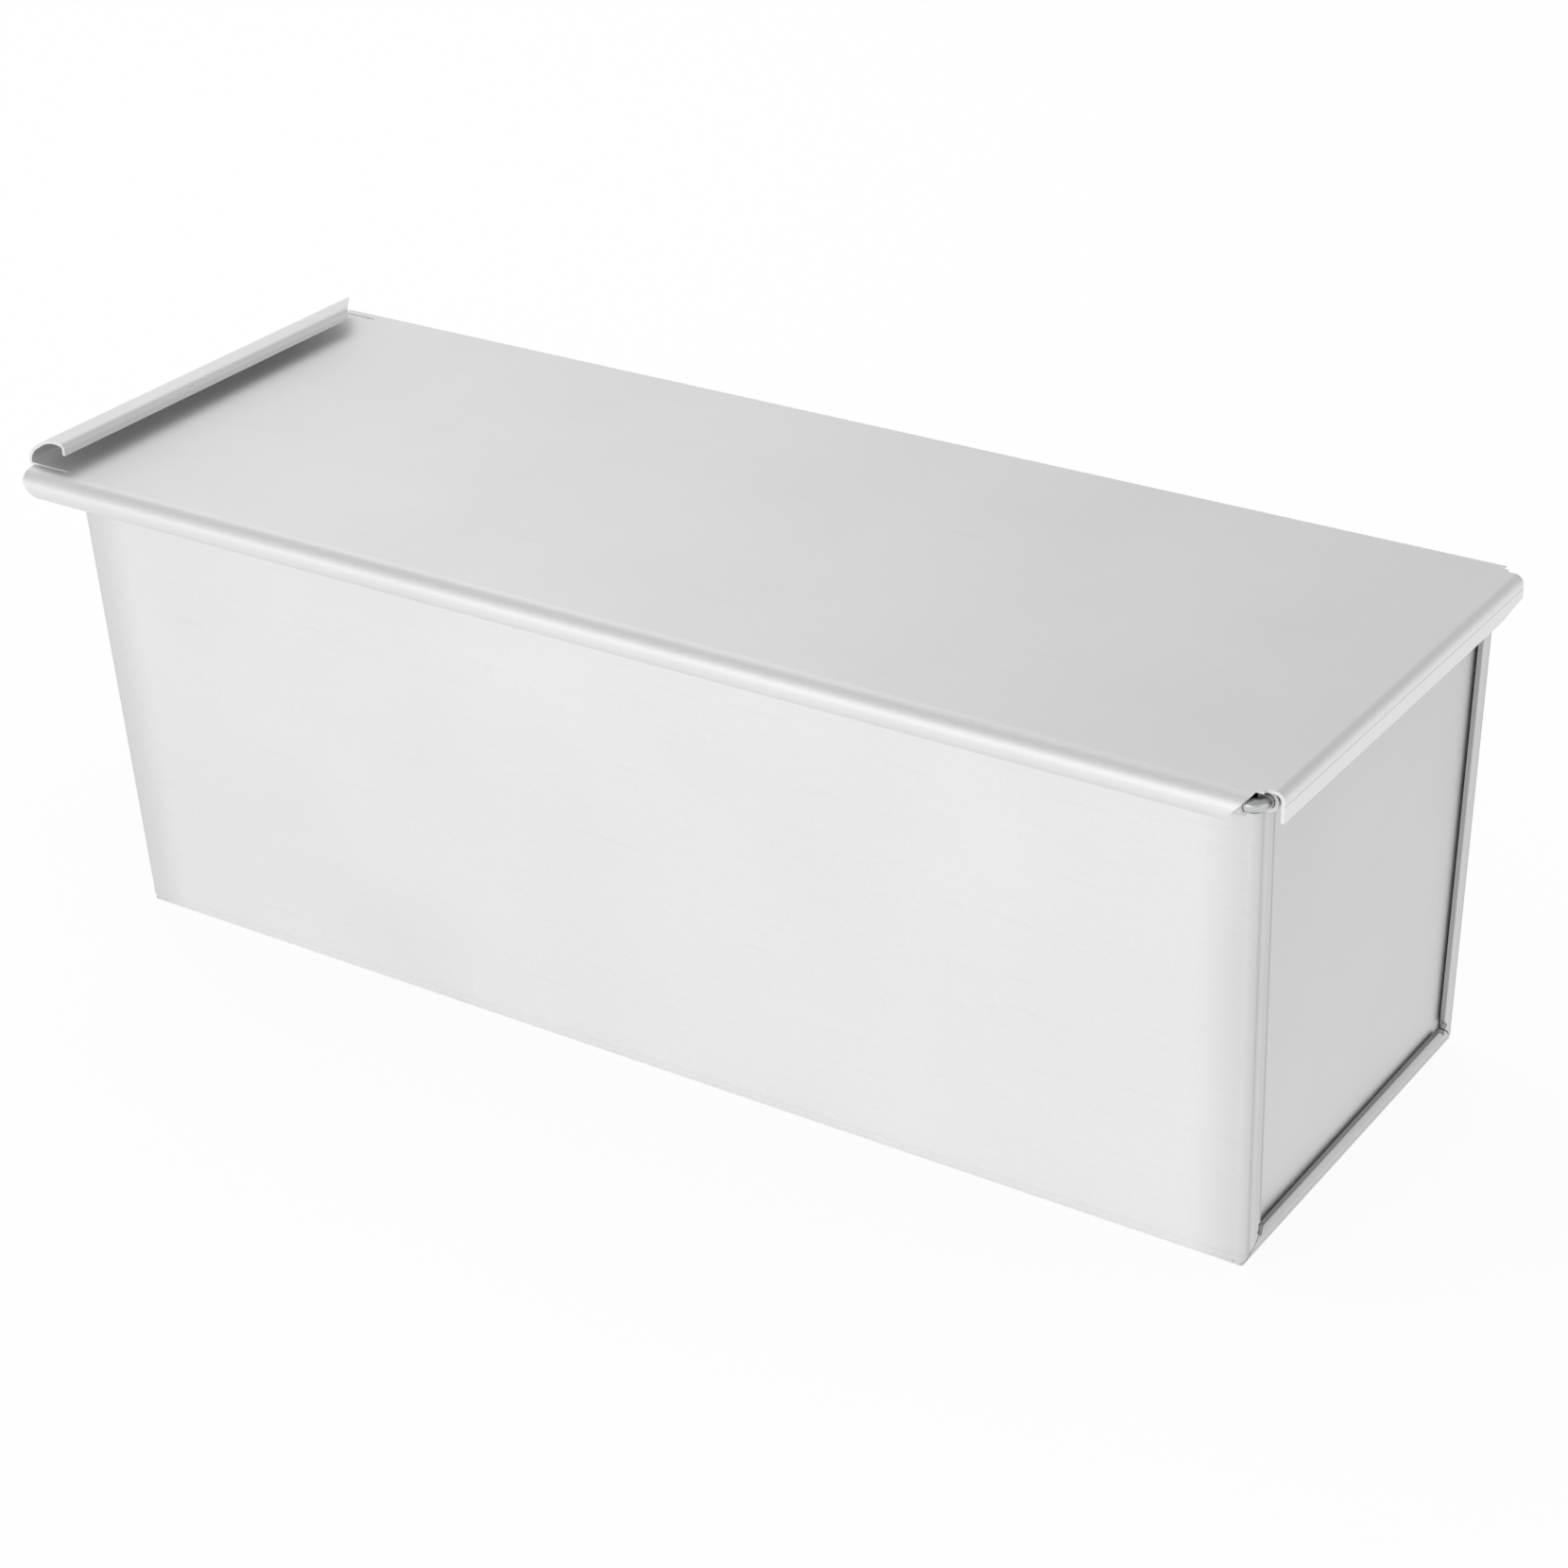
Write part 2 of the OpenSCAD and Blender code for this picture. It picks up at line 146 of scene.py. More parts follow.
@dataclass(frozen=True)
class AluminisedSheet:
    """Cold-rolled steel with a hot-dipped aluminium skin, left bare: a satin, pale grey metal.

    The skin is slightly uneven, so it clouds softly over a hand's width, has a fine
    grain, and runs in faint lines along the direction in which the sheet was rolled.

    Attributes:
        name: name of the material.
        colour: sRGB hex colour of the metal.
        roughness: mean roughness of the skin.
        cloud_mm: size of the soft clouds.
        grain_mm: size of the grain, drawn about twice as coarse as it is so that it shows.
        line_mm: spacing of the rolling lines, drawn coarser than the real 0.05 mm.
        line_length_mm: length of the rolling lines.
        rub_mm: length of a rub mark and, twice, its width.
        rub_turn: turn of the rub marks against the axes, in radians.
        rub_range: levels of the noise between which a rub mark fades in.
        cloudiness: how far the clouds lighten and darken the metal.
        graininess: how far the grain lightens and darkens it.
        lining: how far the rolling lines lighten it.
        scuffing: strength of the short rub marks from handling and stacking.
    """

    name: str
    colour: str
    roughness: float = 0.58
    cloud_mm: float = 46.0
    grain_mm: float = 0.8
    line_mm: float = 0.7
    line_length_mm: float = 90.0
    rub_mm: tuple[float, float, float] = (16.0, 1.1, 1.1)
    rub_turn: tuple[float, float, float] = (0.5, 0.35, 0.6)
    rub_range: tuple[float, float] = (0.66, 0.78)
    cloudiness: float = 0.07
    graininess: float = 0.09
    lining: float = 0.02
    scuffing: float = 0.012

    def material(self) -> bpy.types.Material:
        """Builds the sheet's material.

        Returns:
            The new material.
        """
        made = bpy.data.materials.new(self.name)
        made.use_nodes = True
        tree = made.node_tree
        tree.nodes.clear()
        place = add_node(tree, "ShaderNodeTexCoord").outputs["Object"]
        clouds = add_node(tree, "ShaderNodeTexNoise",
                          values={"Scale": 1000 / self.cloud_mm, "Detail": 2.0, "Roughness": 0.45},
                          links={"Vector": place}).outputs[0]
        grain = add_node(tree, "ShaderNodeTexNoise",
                         values={"Scale": 1000 / self.grain_mm, "Detail": 3.0, "Roughness": 0.65},
                         links={"Vector": place}).outputs[0]
        line_size = (self.line_length_mm, self.line_mm, self.line_mm)
        along = add_node(tree, "ShaderNodeMapping",
                         values={"Scale": tuple(1000 / size for size in line_size)},
                         links={"Vector": place}).outputs[0]
        lines = add_node(tree, "ShaderNodeTexNoise",
                         values={"Scale": 1.0, "Detail": 2.0, "Roughness": 0.5},
                         links={"Vector": along}).outputs[0]
        slanted = add_node(tree, "ShaderNodeMapping",
                           values={"Rotation": self.rub_turn,
                                   "Scale": tuple(1000 / size for size in self.rub_mm)},
                           links={"Vector": place}).outputs[0]
        rubs = add_node(tree, "ShaderNodeTexNoise",
                        values={"Scale": 1.0, "Detail": 1.0, "Roughness": 0.4, "Distortion": 0.3},
                        links={"Vector": slanted}).outputs[0]
        rub_mask = add_node(tree, "ShaderNodeMapRange", {"clamp": True},
                            {"From Min": self.rub_range[0], "From Max": self.rub_range[1]},
                            {"Value": rubs}).outputs[0]
        # Light and shade of the skin, about a middle of 1
        tone = 1.0 - (self.cloudiness + self.graininess) / 2 - self.lining / 2
        shade = add_node(tree, "ShaderNodeMath", {"operation": "MULTIPLY_ADD"},
                         {1: self.cloudiness, 2: tone}, {0: clouds}).outputs[0]
        for amount, pattern in ((self.graininess, grain), (self.lining, lines),
                                (-self.scuffing, rub_mask)):
            shade = add_node(tree, "ShaderNodeMath", {"operation": "MULTIPLY_ADD"},
                             {1: amount}, {0: pattern, 2: shade}).outputs[0]
        rough = add_node(tree, "ShaderNodeMath", {"operation": "MULTIPLY_ADD"},
                         {1: 0.14, 2: self.roughness - 0.07}, {0: grain}).outputs[0]
        rough = add_node(tree, "ShaderNodeMath", {"operation": "MULTIPLY_ADD"},
                         {1: 0.03}, {0: rub_mask, 2: rough}).outputs[0]
        relief = add_node(tree, "ShaderNodeMath", {"operation": "ADD"},
                          links={0: grain, 1: lines}).outputs[0]
        fine = add_node(tree, "ShaderNodeBump", values={"Strength": 0.10, "Distance": 0.02 * MM},
                        links={"Height": relief}).outputs[0]
        bump = add_node(tree, "ShaderNodeBump", values={"Strength": 0.5, "Distance": 0.35 * MM},
                        links={"Height": clouds, "Normal": fine}).outputs[0]
        # Painted shade of hems and folds, and a rub line of wear, on a hemmed sheet
        shade = self.pressed(tree, place, shade)
        colour = add_node(tree, "ShaderNodeMix", {"data_type": "RGBA", "blend_type": "MULTIPLY"},
                          {0: 1.0, 6: linear(self.colour)}, {7: shade}).outputs[2]
        shader = add_node(tree, "ShaderNodeBsdfPrincipled", values={"Metallic": 1.0},
                          links={"Base Color": colour, "Roughness": rough, "Normal": bump})
        add_node(tree, "ShaderNodeOutputMaterial", links={"Surface": shader.outputs[0]})
        return made

    def pressed(
        self,
        tree: bpy.types.NodeTree,
        place: bpy.types.NodeSocket,
        shade: bpy.types.NodeSocket,
    ) -> bpy.types.NodeSocket:
        """Adds the painted shade and the rub line of a hemmed sheet; a plain sheet has none.

        Args:
            tree: the material's tree.
            place: the object coordinates.
            shade: the light and shade so far.

        Returns:
            The shade with the marks in it.
        """
        return shade


@dataclass(frozen=True)
class HemmedSheet(AluminisedSheet):
    """The body's sheet, with painted shade on its hems, where they are pressed over the end plates,
    and beside its folds.

    Attributes:
        hem_mm: width of a hem.
        creases: painted shade across a hem, from its fold to its edge.
        crease_shade_depth: how much darker the painted shade makes the metal in the creases.
        fold_shade_mm: width beside the fold over which painted shade darkens a wall.
        fold_shade: how much darker the painted shade makes a wall at the fold.
        rub_line_mm: height of the rub line along the foot of a wall.
        rub_line: dullness up the foot of a wall, over four times that height.
        rub_line_depth: how much darker the rub line is.
    """

    hem_mm: float = 6.2
    creases: tuple[tuple[float, float], ...] = (
        (0.0, 0.0), (0.2, 0.1), (0.31, 1.0), (0.36, 0.2), (0.5, 0.0),
        (0.66, 0.5), (0.8, 0.05), (0.92, 0.3), (0.99, 1.0))
    crease_shade_depth: float = 0.22
    fold_shade_mm: float = 13.0
    fold_shade: float = 0.13
    rub_line_mm: float = 3.0
    rub_line: tuple[tuple[float, float], ...] = (
        (0.0, 0.3), (0.2, 0.1), (0.25, 1.0), (0.29, 0.0), (1.0, 0.0))
    rub_line_depth: float = 0.05

    def pressed(
        self,
        tree: bpy.types.NodeTree,
        place: bpy.types.NodeSocket,
        shade: bpy.types.NodeSocket,
    ) -> bpy.types.NodeSocket:
        """Paints shade on the hems along their creases and on the walls towards their folds, and
        adds the rub line.

        Args:
            tree: the material's tree.
            place: the object coordinates.
            shade: the light and shade so far.

        Returns:
            The shade with the painted shade of hems and folds and the rub line in it.
        """
        sized = add_node(tree, "ShaderNodeVectorMath", {"operation": "SCALE"},
                         {"Scale": 1 / MM}, {0: place}).outputs[0]
        sized = add_node(tree, "ShaderNodeVectorMath", {"operation": "ABSOLUTE"},
                         links={0: sized}).outputs[0]
        x, y, z = add_node(tree, "ShaderNodeSeparateXYZ", links={0: sized}).outputs
        edge = add_node(tree, "ShaderNodeMath", {"operation": "MULTIPLY_ADD"},
                        {1: SIDE_SLOPE, 2: FOOT_HALF_MM}, {0: z}).outputs[0]
        inward = add_node(tree, "ShaderNodeMath", {"operation": "SUBTRACT"},
                          links={0: edge, 1: y}).outputs[0]
        across = add_node(tree, "ShaderNodeMath", {"operation": "MINIMUM"},
                          links={0: inward, 1: z}).outputs[0]
        share = add_node(tree, "ShaderNodeMath", {"operation": "DIVIDE"}, {1: self.hem_mm},
                         {0: across}).outputs[0]
        # Painted shade along a hem's crease lines and its inner edge, where shade falls
        creases = add_ramp(tree, share, self.creases)
        depth = add_node(tree, "ShaderNodeMath", {"operation": "MULTIPLY_ADD"},
                         {1: -END_SLOPE}, {0: z, 2: x}).outputs[0]
        on_end = add_node(tree, "ShaderNodeMapRange", {"clamp": True},
                          {"From Min": HEM_FACE_MM - 1.6, "From Max": HEM_FACE_MM - 0.4},
                          {"Value": depth}).outputs[0]
        # Painted shade: the foot's hem lies towards the ground, so it is darkened, most of all
        # along its inner half
        foot = add_node(tree, "ShaderNodeMath", {"operation": "LESS_THAN"},
                        links={0: z, 1: inward}).outputs[0]
        inner = add_node(tree, "ShaderNodeMapRange", {"clamp": True},
                         {"From Min": 0.2, "From Max": 0.8, "To Min": 0.1, "To Max": 0.45},
                         {"Value": share}).outputs[0]
        foot = add_node(tree, "ShaderNodeMath", {"operation": "MULTIPLY"},
                        links={0: foot, 1: inner}).outputs[0]
        creases = add_node(tree, "ShaderNodeMath", {"operation": "ADD"},
                           links={0: creases, 1: foot}).outputs[0]
        # The painted shade of the creases and the foot lies on the end hems alone and darkens them
        hem_shade = add_node(tree, "ShaderNodeMath", {"operation": "MULTIPLY"},
                          links={0: creases, 1: on_end}).outputs[0]
        shade = add_node(tree, "ShaderNodeMath", {"operation": "MULTIPLY_ADD"},
                         {1: -self.crease_shade_depth}, {0: hem_shade, 2: shade}).outputs[0]
        # Painted shade darkens the walls softly towards the fold, and a rub line of wear runs low
        # along them
        near_fold = add_node(tree, "ShaderNodeMapRange",
                             {"clamp": True, "interpolation_type": "SMOOTHSTEP"},
                             {"From Min": HEM_FACE_MM - self.fold_shade_mm,
                              "From Max": HEM_FACE_MM - 1.0}, {"Value": depth}).outputs[0]
        low = add_node(tree, "ShaderNodeMath", {"operation": "DIVIDE"},
                       {1: self.rub_line_mm * 4}, {0: z}).outputs[0]
        rubbed = add_ramp(tree, low, self.rub_line)
        for amount, pattern in ((self.fold_shade, near_fold), (self.rub_line_depth, rubbed)):
            shade = add_node(tree, "ShaderNodeMath", {"operation": "MULTIPLY_ADD"},
                             {1: -amount}, {0: pattern, 2: shade}).outputs[0]
        return shade


@dataclass(frozen=True)
class DrawnWire:
    """Bright steel wire, pulled through a die: a smooth metal with fine lines along it.

    Attributes:
        name: name of the material.
        colour: sRGB hex colour of the metal.
        roughness: mean roughness.
        grain_mm: size of the die marks, drawn coarser than they are.
    """

    name: str = "drawn_steel_wire"
    colour: str = "C9CACB"
    roughness: float = 0.32
    grain_mm: float = 0.5

    def material(self) -> bpy.types.Material:
        """Builds the wire's material.

        Returns:
            The new material.
        """
        made = bpy.data.materials.new(self.name)
        made.use_nodes = True
        tree = made.node_tree
        tree.nodes.clear()
        place = add_node(tree, "ShaderNodeTexCoord").outputs["Object"]
        marks = add_node(tree, "ShaderNodeTexNoise",
                         values={"Scale": 1000 / self.grain_mm, "Detail": 2.0},
                         links={"Vector": place}).outputs[0]
        shade = add_node(tree, "ShaderNodeMath", {"operation": "MULTIPLY_ADD"},
                         {1: 0.12, 2: 0.92}, {0: marks}).outputs[0]
        colour = add_node(tree, "ShaderNodeMix", {"data_type": "RGBA", "blend_type": "MULTIPLY"},
                          {0: 1.0, 6: linear(self.colour)}, {7: shade}).outputs[2]
        rough = add_node(tree, "ShaderNodeMath", {"operation": "MULTIPLY_ADD"},
                         {1: 0.12, 2: self.roughness - 0.06}, {0: marks}).outputs[0]
        bump = add_node(tree, "ShaderNodeBump", values={"Strength": 0.1, "Distance": 0.02 * MM},
                        links={"Height": marks}).outputs[0]
        shader = add_node(tree, "ShaderNodeBsdfPrincipled", values={"Metallic": 1.0},
                          links={"Base Color": colour, "Roughness": rough, "Normal": bump})
        add_node(tree, "ShaderNodeOutputMaterial", links={"Surface": shader.outputs[0]})
        return made


def seen_mesh(piece: bpy.types.Object) -> bpy.types.Mesh:
    """Copies the mesh of a piece or a line as its modifiers leave it."""
    seen = piece.evaluated_get(bpy.context.evaluated_depsgraph_get())
    return bpy.data.meshes.new_from_object(seen)


def grown_mesh(
    name: str,
    points: list[tuple[float, float, float]],
    closed: bool,
    tree: bpy.types.NodeTree,
    inputs: dict[str, float],
) -> bpy.types.Mesh:
    """Draws a line and lets a geometry tree grow a mesh from it.

    Args:
        name: name of the line.
        points: the line's points.
        closed: whether the line runs back to its start.
        tree: the geometry tree.
        inputs: the tree's named inputs and their values.

    Returns:
        The plain mesh that the tree makes.
    """
    curve = bpy.data.curves.new(name, "CURVE")
    curve.dimensions = "3D"
    spline = curve.splines.new("POLY")
    spline.points.add(len(points) - 1)
    for point, place in zip(spline.points, points):
        point.co = (*place, 1.0)
    spline.use_cyclic_u = closed
    drawn = bpy.data.objects.new(name, curve)
    bpy.context.scene.collection.objects.link(drawn)
    maker = drawn.modifiers.new(tree.name, "NODES")
    maker.node_group = tree
    for item in tree.interface.items_tree:
        if item.in_out == "INPUT" and item.name in inputs:
            maker[item.identifier] = inputs[item.name]
    mesh = seen_mesh(drawn)
    bpy.data.objects.remove(drawn)
    return mesh


def slice_mesh(
    form: bmesh.types.BMesh,
    place: tuple[float, float, float],
    normal: tuple[float, float, float],
    clear: bool = False,
) -> None:
    """Cuts a whole mesh by a plane.

    Args:
        form: the mesh.
        place: a point of the plane.
        normal: the plane's normal.
        clear: whether the part on the normal's side goes.
    """
    bmesh.ops.bisect_plane(form, geom=form.verts[:] + form.edges[:] + form.faces[:], dist=1e-7,
                           plane_co=place, plane_no=normal, clear_outer=clear)


def close_cuts(form: bmesh.types.BMesh) -> None:
    """Fills the open ends of a mesh with flat faces."""
    bmesh.ops.holes_fill(form, edges=[e for e in form.edges if e.is_boundary])


def finished_sheet(mesh: bpy.types.Mesh, name: str) -> bpy.types.Object:
    """Makes a piece of a sheet's mesh, smooth along its bends and flat where it is flat.

    Args:
        mesh: the sheet's mesh.
        name: name of the new piece.

    Returns:
        The new piece.
    """
    mesh.shade_smooth()
    mesh.set_sharp_from_angle(angle=math.radians(SHARP_DEGREES))
    piece = bpy.data.objects.new(name, mesh)
    bpy.context.scene.collection.objects.link(piece)
    weighting = piece.modifiers.new("flat_faces_lead", "WEIGHTED_NORMAL")
    weighting.mode = "FACE_AREA"
    weighting.weight = 100
    weighting.keep_sharp = True
    weighted = seen_mesh(piece)
    piece.modifiers.clear()
    piece.data = weighted
    return piece


def drop_inner_faces(form: bmesh.types.BMesh) -> None:
    """Deletes the few faces that merging leaves inside a sheet, where two laps of it met.

    Args:
        form: the mesh, where such faces share their outer edges with the sheet's skin.
    """
    gone: set[bmesh.types.BMFace] = set()
    for edge in form.edges:
        for face in edge.link_faces if len(edge.link_faces) > 2 else ():
            island, front = {face}, {face}
            while front:
                front = {g for f in front for e in f.edges if len(e.link_faces) == 2
                         for g in e.link_faces} - island
                island |= front
            if len(island) < LARGEST_INNER_PATCH:
                gone |= island
    bmesh.ops.delete(form, geom=[f for f in form.faces if f in gone], context="FACES")


def smoothed_node(
    node: str, name: str, *shapes: Callable[[bmesh.types.BMesh], None]
) -> bpy.types.Object:
    """Copies a CAD node and smooths its bends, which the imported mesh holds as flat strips.

    Args:
        node: name of the CAD node.
        name: name of the new piece.
        *shapes: what else is done to the mesh, in order, before its bends are smoothed.

    Returns:
        The new piece, which stands for the node.
    """
    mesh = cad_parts[node].data.copy()
    mesh.name = name
    form = bmesh.new()
    form.from_mesh(mesh)
    bmesh.ops.remove_doubles(form, verts=form.verts, dist=WELD)
    bmesh.ops.dissolve_degenerate(form, edges=form.edges, dist=SLIVER)
    bmesh.ops.dissolve_limit(form, angle_limit=math.radians(FLAT_DEGREES), verts=form.verts,
                             edges=form.edges)
    drop_inner_faces(form)
    for shape in shapes:
        shape(form)
    form.to_mesh(mesh)
    form.free()
    mesh.materials.clear()
    return finished_sheet(mesh, name)


@dataclass
class PanBody:
    """The folded sheet body: a bottom, two long walls with rolled rims, and hemmed ends.

    Attributes:
        finish: the sheet's finish.
        swelling: distances from a hem's fold and the heights there, in millimetres.
        corner: middle of a pressed corner at the bottom, on the positive sides.
        corner_radius: radius of the pressed corner.
        piece: the body once it is built.
    """

    finish: AluminisedSheet = HemmedSheet("aluminised_steel_body", "EBEBEB")
    swelling: tuple[tuple[float, float], ...] = (
        (1.9, 0.0), (2.25, -0.12), (2.6, 0.02), (3.1, 0.22), (3.7, 0.36), (4.3, 0.40),
        (4.9, 0.36), (5.4, 0.24), (5.8, 0.06), (6.2, -0.25))
    corner: tuple[float, float, float] = (136.3 * MM, 45.5 * MM, 2.0 * MM)
    corner_radius: float = 1.96 * MM
    piece: bpy.types.Object | None = None

    def on_hem(self, face: bmesh.types.BMFace) -> bool:
        """Tells whether a face lies on the outside of a hem."""
        centre = face.calc_center_median()
        depth = abs(centre.x) - END_SLOPE * centre.z
        return abs(face.normal.x) > 0.98 and depth > (HEM_FACE_MM - 0.1) * MM

    def inward(self, place: Vector) -> float:
        """Measures how far a place on a hem lies from the fold, in millimetres."""
        side = FOOT_HALF_MM * MM + SIDE_SLOPE * place.z - abs(place.y)
        return min(side, place.z) / MM

    def swell(self, form: bmesh.types.BMesh) -> None:
        """Presses the hems' swelling, groove and rounded edge into the mesh.

        Args:
            form: the body's mesh.
        """
        form.normal_update()
        for depth, _ in self.swelling[1:-1]:
            cuts = [((0.0, 0.0, depth * MM), (0.0, 0.0, 1.0))]
            for side in (-1.0, 1.0):
                cuts.append(((0.0, side * (FOOT_HALF_MM - depth) * MM, 0.0),
                             (0.0, side, -SIDE_SLOPE)))
            for place, normal in cuts:
                faces = [f for f in form.faces if self.on_hem(f)]
                near = dict.fromkeys(g for f in faces for g in (*f.verts, *f.edges))
                bmesh.ops.bisect_plane(form, geom=faces + list(near), dist=1e-6,
                                       plane_co=place, plane_no=normal)
        heights: dict[bmesh.types.BMVert, float] = {}
        for face in form.faces:
            if self.on_hem(face):
                for vertex in face.verts:
                    at = self.inward(vertex.co)
                    for (d0, h0), (d1, h1) in zip(self.swelling, self.swelling[1:]):
                        if d0 - 0.05 <= at <= d1 + 0.05:
                            share = min(1.0, max(0.0, (at - d0) / (d1 - d0)))
                            heights[vertex] = h0 + (h1 - h0) * share
        for vertex, height in heights.items():
            vertex.co.x += math.copysign(height * MM, vertex.co.x)

    def round_corners(self, form: bmesh.types.BMesh) -> None:
        """Closes the foot's corners with the round form that is pressed where three bends meet.

        Args:
            form: the body's mesh.
        """
        for x in (-self.corner[0], self.corner[0]):
            for y in (-self.corner[1], self.corner[1]):
                bmesh.ops.create_uvsphere(
                    form, u_segments=24, v_segments=16, radius=self.corner_radius,
                    matrix=Matrix.Translation((x, y, self.corner[2])))

    def build(self) -> None:
        """Carries over the folded sheet, with swollen hems and pressed corners."""
        self.piece = smoothed_node("body_wrap", "folded_body", self.swell, self.round_corners)

    def dress(self) -> None:
        """Gives the sheet its finish and ties it to the pan."""
        self.piece.data.materials.append(self.finish.material())
        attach(self.piece, Body.PAN.value)
        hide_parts("body_wrap")


@dataclass
class EndPlates:
    """The two end panels, whose turned-back edges sit under the body's hems.

    Attributes:
        finish: the sheet's finish, its colour darker than the body's as painted shade on the ends.
        seat: depth of the turned-back edges behind the face of the hems.
        pressed: share of its CAD depth behind the seat that the panel keeps.
        pieces: the pieces built so far, by the CAD node that each stands for.
    """

    # The same sheet as the body, its colour darkened as painted shade because the ends face away
    # from the light
    finish: AluminisedSheet = AluminisedSheet("aluminised_steel_end_painted_shade", "DCDCDC")
    seat: float = 0.8 * MM
    pressed: float = 0.30
    pieces: dict[str, bpy.types.Object] = field(default_factory=dict)

    def build(self) -> None:
        """Carries over both end plates, with their panels pressed out close to the hems."""
        for side in ("left", "right"):
            node = f"{side}_end_plate"
            piece = smoothed_node(node, f"{side}_end_panel")
            for vertex in piece.data.vertices:
                depth = HEM_FACE_MM * MM + END_SLOPE * vertex.co.z - abs(vertex.co.x)
                if depth > self.seat:
                    step = (depth - self.seat) * (1.0 - self.pressed)
                    vertex.co.x += math.copysign(step, vertex.co.x)
            self.pieces[node] = piece

    def dress(self) -> None:
        """Gives both plates their finish and ties them to the pan."""
        material = self.finish.material()
        for node, piece in self.pieces.items():
            piece.data.materials.append(material)
            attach(piece, Body.PAN.value)
            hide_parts(node)


@dataclass
class RimWire:
    """The wire that stiffens the rim: one loop with bent corners, butted at the back.

    Attributes:
        half_x: half the loop's length, to the wire's centre.
        half_y: half its width, to the wire's centre.
        height: height of the wire's centre.
        diameter: diameter of the wire.
        bend: radius of the corners, along the wire's centre.
        butt: gap between the two ends.
        corner_steps: straight steps in each corner.
        sides: sides of the tube.
        finish: the wire's finish.
        piece: the wire once it is built.
    """

    half_x: float = 141.3 * MM
    half_y: float = 53.001 * MM
    height: float = 103.3 * MM
    diameter: float = 2.8 * MM
    bend: float = 2.6 * MM
    butt: float = 0.4 * MM
    corner_steps: int = 16
    sides: int = 32
    finish: DrawnWire = DrawnWire()
    piece: bpy.types.Object | None = None

    def path(self) -> list[Vector]:
        """Follows the wire from one butted end to the other.

        Returns:
            The points of the wire's centre line.
        """
        points = [Vector((-self.butt / 2, self.half_y, self.height))]
        inner_x, inner_y = self.half_x - self.bend, self.half_y - self.bend
        corners = ((-inner_x, inner_y, 90), (-inner_x, -inner_y, 180),
                   (inner_x, -inner_y, 270), (inner_x, inner_y, 360))
        for x, y, start in corners:
            for step in range(self.corner_steps + 1):
                turn = math.radians(start + 90 * step / self.corner_steps)
                points.append(Vector((x + self.bend * math.cos(turn),
                                      y + self.bend * math.sin(turn), self.height)))
        points.append(Vector((self.butt / 2, self.half_y, self.height)))
        return points

    def tube_tree(self, material: bpy.types.Material) -> bpy.types.NodeTree:
        """Builds the tree that turns the wire's centre line into a tube.

        Args:
            material: the material that the tube gets.

        Returns:
            The geometry tree, with the path, the wire's diameter and its sides as inputs.
        """
        tree = bpy.data.node_groups.new("wire_tube", "GeometryNodeTree")
        face = tree.interface
        face.new_socket("Path", in_out="INPUT", socket_type="NodeSocketGeometry")
        face.new_socket("Diameter", in_out="INPUT", socket_type="NodeSocketFloat")
        face.new_socket("Sides", in_out="INPUT", socket_type="NodeSocketInt")
        face.new_socket("Tube", in_out="OUTPUT", socket_type="NodeSocketGeometry")
        given = add_node(tree, "NodeGroupInput").outputs
        radius = add_node(tree, "ShaderNodeMath", {"operation": "MULTIPLY"}, {1: 0.5},
                          {0: given["Diameter"]}).outputs[0]
        ring = add_node(tree, "GeometryNodeCurvePrimitiveCircle",
                        links={"Resolution": given["Sides"], "Radius": radius}).outputs[0]
        tube = add_node(tree, "GeometryNodeCurveToMesh", values={"Fill Caps": True},
                        links={"Curve": given["Path"], "Profile Curve": ring}).outputs[0]
        smooth = add_node(tree, "GeometryNodeSetShadeSmooth", links={"Geometry": tube}).outputs[0]
        whole = add_node(tree, "GeometryNodeRealizeInstances",
                         links={"Geometry": smooth}).outputs[0]
        dressed = add_node(tree, "GeometryNodeSetMaterial", values={"Material": material},
                           links={"Geometry": whole}).outputs[0]
        add_node(tree, "NodeGroupOutput", links={"Tube": dressed})
        return tree

    def build(self) -> None:
        """Draws the wire's centre line and turns it into a tube."""
        tree = self.tube_tree(self.finish.material())
        mesh = grown_mesh("rim_wire_path", [tuple(point) for point in self.path()], False, tree,
                          {"Diameter": self.diameter, "Sides": self.sides})
        mesh.set_sharp_from_angle(angle=math.radians(50))
        self.piece = bpy.data.objects.new("drawn_rim_wire", mesh)
        bpy.context.scene.collection.objects.link(self.piece)

    def dress(self) -> None:
        """Ties the wire to the pan, in place of its CAD node."""
        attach(self.piece, Body.PAN.value)
        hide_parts("rim_wire")


@dataclass(frozen=True)
class Bend:
    """One step along a bent sheet, seen from its end: a straight run, then a bend.

    Attributes:
        run: length of the straight run, in millimetres.
        radius: radius of the bend at the traced face, in millimetres.
        turn: angle of the bend in degrees, to the right where it is above 0.
    """

    run: float
    radius: float = 0.0
    turn: float = 0.0


